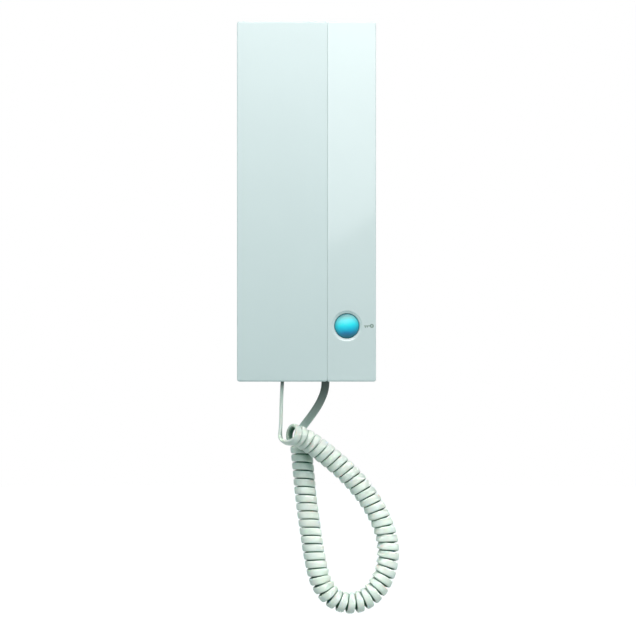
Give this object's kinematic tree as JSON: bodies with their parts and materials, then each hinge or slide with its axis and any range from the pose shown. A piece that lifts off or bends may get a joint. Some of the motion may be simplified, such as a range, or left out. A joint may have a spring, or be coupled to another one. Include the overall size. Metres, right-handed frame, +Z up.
{
  "type": "audio intercom handset",
  "caption": "Slim wall audio intercom: a full-height handset lies in a shallow bed beside a deep strip with a round door-opener button, and a curly cord hangs below.",
  "frame": {"origin": "centre of the wall face of the wall plate", "axes": "+X to the right as seen by the user, +Y into the wall, +Z up"},
  "size_m": [0.1007, 0.0461, 0.3685],
  "materials": {
    "shell_white": "satin, very pale cyan white",
    "button_blue": "translucent blue, polished dome",
    "cord_white": "smooth soft vinyl",
    "plug_clear": "clear moulded",
    "steel": "zinc plated",
    "board_green": "lacquered laminate",
    "black_plastic": "moulded",
    "grey_plastic": "moulded",
    "terminal_green": "moulded",
    "foam": "closed-cell foam",
    "membrane_rubber": "silicone rubber",
    "capacitor_foil": "sleeved can"
  },
  "bodies": {
    "base": {"wall_plate": "shell_white", "front_cover": "shell_white", "cover_screws": "steel", "circuit_board": "board_green", "main_board_screws": "steel", "terminal_block": "terminal_green", "terminal_screws": "steel", "amplifier_chip": "black_plastic", "line_transformer": "black_plastic", "capacitors": "capacitor_foil", "hook_switch": "grey_plastic", "hook_spring": "steel", "button_board": "board_green", "button_board_screws": "steel", "board_header": "black_plastic", "button_guide": "shell_white", "button_membrane": "membrane_rubber", "tact_switch": "black_plastic", "volume_switch": "grey_plastic", "speaker_gasket": "foam", "call_speaker": "steel", "base_jack": "grey_plastic", "base_plug": "plug_clear", "cord_tail_base": "cord_white", "cord_coil": "cord_white"},
    "handset": {"handset_front_shell": "shell_white", "handset_back_shell": "shell_white", "handset_screws": "steel", "earpiece_gasket": "foam", "earpiece_capsule": "black_plastic", "microphone_boot": "foam", "microphone_capsule": "steel", "handset_weight": "steel", "handset_jack": "grey_plastic", "handset_plug": "plug_clear", "cord_tail_handset": "cord_white"},
    "hook_plunger": {"hook_plunger": "shell_white"},
    "door_button": {"door_button": "button_blue"},
    "volume_slider": {"volume_slider": "grey_plastic"}
  },
  "joints": [
    {"name": "handset_lift", "type": "slide", "parent": "base", "child": "handset", "axis": [0, -1, 0], "range_m": [0, 0.03], "deforming": ["cord_coil", "cord_tail_base", "cord_tail_handset"]},
    {"name": "hook_plunger_slide", "type": "slide", "parent": "base", "child": "hook_plunger", "axis": [0, -1, 0], "range_m": [0, 0.003], "deforming": ["hook_spring"]},
    {"name": "door_button_press", "type": "slide", "parent": "base", "child": "door_button", "axis": [0, 1, 0], "range_m": [0, 0.0015], "stiffness_N_per_m": 900, "springref_m": -0.0004, "deforming": ["button_membrane"]},
    {"name": "volume_slide", "type": "slide", "parent": "base", "child": "volume_slider", "axis": [0, 0, 1], "range_m": [-0.003, 0.003]}
  ],
  "couplings": [
    {"joint": "hook_plunger_slide", "follows": "handset_lift", "ratio": 0.1}
  ]
}
